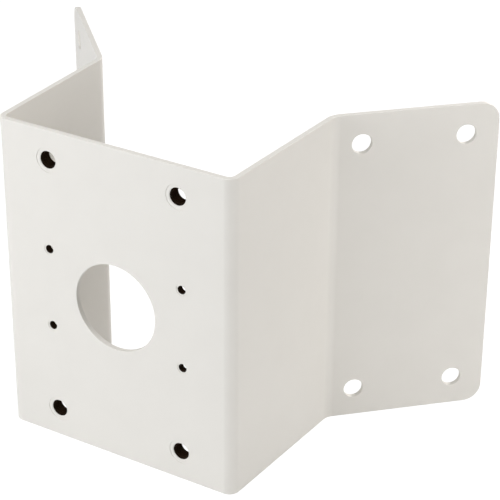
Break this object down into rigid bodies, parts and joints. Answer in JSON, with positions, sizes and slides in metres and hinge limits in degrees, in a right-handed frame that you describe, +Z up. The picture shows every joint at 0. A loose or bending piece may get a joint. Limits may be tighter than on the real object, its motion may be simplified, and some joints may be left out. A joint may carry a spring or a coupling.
{
  "type": "camera corner mount bracket",
  "caption": "Folded steel bracket that carries a security camera off the outside corner of a building, with threaded camera fixings and a cable hole.",
  "frame": {"origin": "middle of the cable hole, on the camera face", "axes": "X across the bracket, +Y from the camera face towards the building, +Z up"},
  "size_m": [0.2796, 0.1601, 0.184],
  "materials": {
    "ivory_powder_coat": "satin ivory powder coat on steel sheet",
    "nut_steel": "black steel, bare inside the thread"
  },
  "bodies": {
    "root": {"folded_plate": "ivory_powder_coat", "large_press_nuts": "nut_steel", "small_press_nuts": "nut_steel"}
  },
  "joints": []
}
